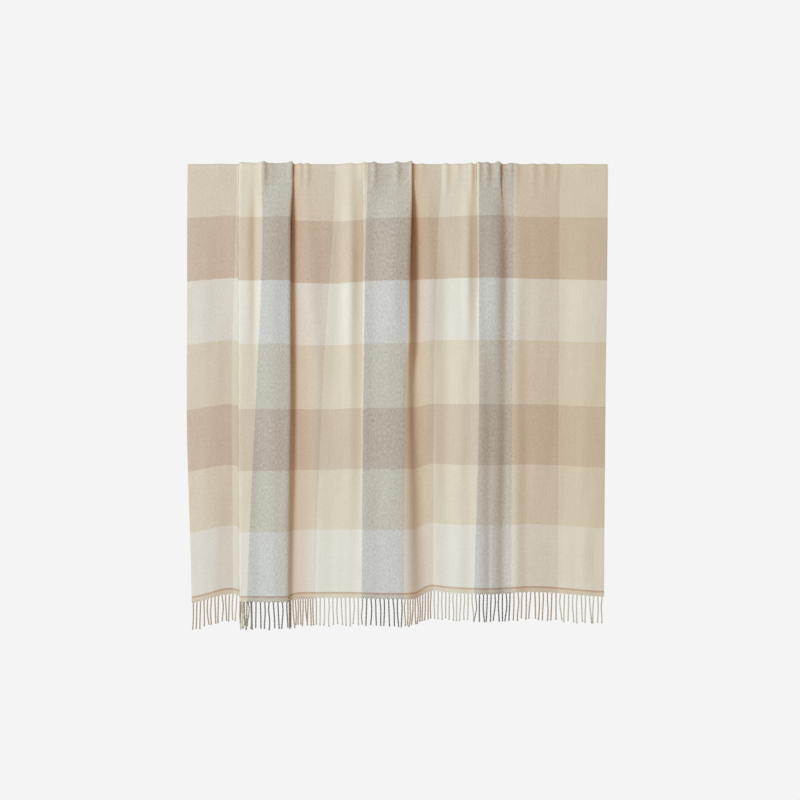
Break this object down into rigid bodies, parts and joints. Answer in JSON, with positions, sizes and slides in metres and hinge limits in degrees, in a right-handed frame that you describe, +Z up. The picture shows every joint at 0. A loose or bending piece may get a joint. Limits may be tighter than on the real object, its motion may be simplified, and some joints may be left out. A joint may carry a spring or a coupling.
{
  "type": "throw blanket",
  "caption": "Checked wool throw with twisted fringe, hung in flat pleats over a round rail; both drops, both fringes and the care label swing.",
  "frame": {"origin": "on the axis of the rail that the throw hangs on, at the middle of its width", "axes": "+X along the rail, -Y to the front drop's face, +Z up"},
  "size_m": [1.0602, 0.0674, 1.1772],
  "materials": {
    "checked_wool": "brushed woven wool in a rose, cream and grey check",
    "contrast_line": "brown weft line",
    "header_band": "beige woven header",
    "rose_tassel": "twisted rose wool yarn",
    "cream_tassel": "twisted cream wool yarn",
    "grey_tassel": "twisted heathered grey wool yarn",
    "label_tape": "plain satin tape without print",
    "thread": "sewing thread"
  },
  "bodies": {
    "over_rail": {"over_rail_cloth": "checked_wool"},
    "front_drop": {"front_cloth": "checked_wool", "front_contrast_line": "contrast_line", "front_header_band": "header_band", "care_label_tab": "label_tape", "label_stitches": "thread"},
    "back_drop": {"back_cloth": "checked_wool", "back_contrast_line": "contrast_line", "back_header_band": "header_band"},
    "front_fringe": {"front_tassels_01_rose": "rose_tassel", "front_tassels_02_cream": "cream_tassel", "front_tassels_03_grey": "grey_tassel", "front_tassels_04_rose": "rose_tassel", "front_tassels_05_cream": "cream_tassel", "front_tassels_06_grey": "grey_tassel", "front_tassels_07_rose": "rose_tassel", "front_tassels_08_cream": "cream_tassel", "front_tassels_09_grey": "grey_tassel", "front_tassels_10_rose": "rose_tassel", "front_tassels_11_cream": "cream_tassel"},
    "back_fringe": {"back_tassels_01_rose": "rose_tassel", "back_tassels_02_cream": "cream_tassel", "back_tassels_03_grey": "grey_tassel", "back_tassels_04_rose": "rose_tassel", "back_tassels_05_cream": "cream_tassel", "back_tassels_06_grey": "grey_tassel", "back_tassels_07_rose": "rose_tassel", "back_tassels_08_cream": "cream_tassel", "back_tassels_09_grey": "grey_tassel", "back_tassels_10_rose": "rose_tassel", "back_tassels_11_cream": "cream_tassel"},
    "care_label_flap": {"care_label": "label_tape"}
  },
  "joints": [
    {"name": "front_drop_lift", "type": "hinge", "parent": "over_rail", "child": "front_drop", "pos_m": [0, -0.0136, 0], "axis": [-1, 0, 0], "range_deg": [0, 90]},
    {"name": "back_drop_lift", "type": "hinge", "parent": "over_rail", "child": "back_drop", "pos_m": [0, 0.0136, 0], "axis": [1, 0, 0], "range_deg": [0, 90]},
    {"name": "front_fringe_swing", "type": "hinge", "parent": "front_drop", "child": "front_fringe", "pos_m": [0, -0.01604, -1.08714], "axis": [-1, 0, 0], "range_deg": [-20, 20]},
    {"name": "back_fringe_swing", "type": "hinge", "parent": "back_drop", "child": "back_fringe", "pos_m": [0, 0.01604, -0.67014], "axis": [1, 0, 0], "range_deg": [-8, 20]},
    {"name": "care_label_flip", "type": "hinge", "parent": "front_drop", "child": "care_label_flap", "pos_m": [0.518, -0.01077, -0.96134], "axis": [1, 0, 0], "range_deg": [0, 120]}
  ]
}
